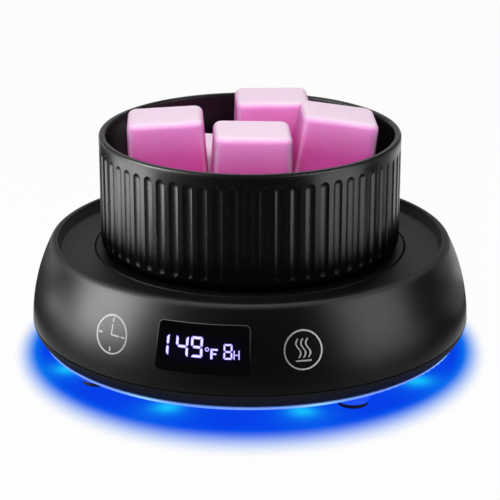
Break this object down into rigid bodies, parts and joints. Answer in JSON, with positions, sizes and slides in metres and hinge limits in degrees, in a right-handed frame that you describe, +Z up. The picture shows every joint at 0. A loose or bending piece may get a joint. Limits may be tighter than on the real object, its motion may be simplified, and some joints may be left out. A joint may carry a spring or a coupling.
{
  "type": "wax warmer",
  "caption": "Round electric wax warmer: black bowed base with a digital display, touch keys and light under it, and a fluted lift-off dish of wax melts on its heating plate.",
  "frame": {"origin": "on the floor under the middle of the round base", "axes": "+Z up, -Y towards the display at the front, +X to the right of someone facing the display"},
  "size_m": [0.1338, 0.1338, 0.0776],
  "materials": {
    "housing_black": "satin moulded",
    "band_black": "satin moulded",
    "diffuser": "frosted translucent",
    "foot_rubber": "matt",
    "plate_coating": "gloss",
    "dish_coating": "semi-gloss",
    "window_smoke": "polished",
    "wax_pink": "soft, slightly translucent",
    "silicone": "matt",
    "heater_film": "film",
    "felt": "fibre",
    "steel": "zinc plated",
    "brass": "bright",
    "fuse_ceramic": "plain",
    "circuit_board": "solder mask",
    "chip_black": "moulded",
    "aluminium_can": "drawn",
    "socket_white": "moulded",
    "wire_red": "insulated",
    "wire_grey": "insulated",
    "foam_black": "open cell",
    "display_block": "moulded",
    "led_white": "moulded"
  },
  "bodies": {
    "base": {"upper_housing": "housing_black", "lower_housing": "band_black", "light_diffuser": "diffuser", "foot_pad_front_left": "foot_rubber", "foot_pad_front_right": "foot_rubber", "foot_pad_rear_left": "foot_rubber", "foot_pad_rear_right": "foot_rubber", "case_screws": "steel", "heating_plate": "plate_coating", "plate_gasket": "silicone", "heater_element": "heater_film", "insulation_pad": "felt", "heat_shield": "steel", "heat_shield_screws": "steel", "temperature_sensor": "steel", "sensor_retainer": "socket_white", "thermal_fuse": "fuse_ceramic", "fuse_clamp": "steel", "power_jack": "chip_black", "power_jack_pin": "brass", "control_board": "circuit_board", "control_board_screws": "steel", "microcontroller": "chip_black", "heater_transistor": "chip_black", "capacitors": "aluminium_can", "buzzer": "chip_black", "board_connectors": "socket_white", "heater_leads": "wire_red", "sensor_leads": "wire_grey", "led_leads": "wire_red", "display_ribbon": "wire_grey", "display_window": "window_smoke", "display_board": "circuit_board", "display_module": "display_block", "touch_pad_timer": "foam_black", "touch_pad_heat": "foam_black", "led_ring_board": "circuit_board", "under_glow_leds": "led_white"},
    "dish": {"wax_dish": "dish_coating", "lower_wax_melts": "wax_pink"},
    "wax_left": {"wax_melt_left": "wax_pink"},
    "wax_back": {"wax_melt_back": "wax_pink"},
    "wax_front": {"wax_melt_front": "wax_pink"},
    "wax_right": {"wax_melt_right": "wax_pink"}
  },
  "joints": [
    {"name": "dish_lift", "type": "slide", "parent": "base", "child": "dish", "axis": [0, 0, 1], "range_m": [0, 0.09]},
    {"name": "wax_left_lift", "type": "slide", "parent": "dish", "child": "wax_left", "axis": [0, 0, 1], "range_m": [0, 0.06]},
    {"name": "wax_back_lift", "type": "slide", "parent": "dish", "child": "wax_back", "axis": [0, 0, 1], "range_m": [0, 0.06]},
    {"name": "wax_front_lift", "type": "slide", "parent": "dish", "child": "wax_front", "axis": [0, 0, 1], "range_m": [0, 0.06]},
    {"name": "wax_right_lift", "type": "slide", "parent": "dish", "child": "wax_right", "axis": [0, 0, 1], "range_m": [0, 0.06]}
  ]
}
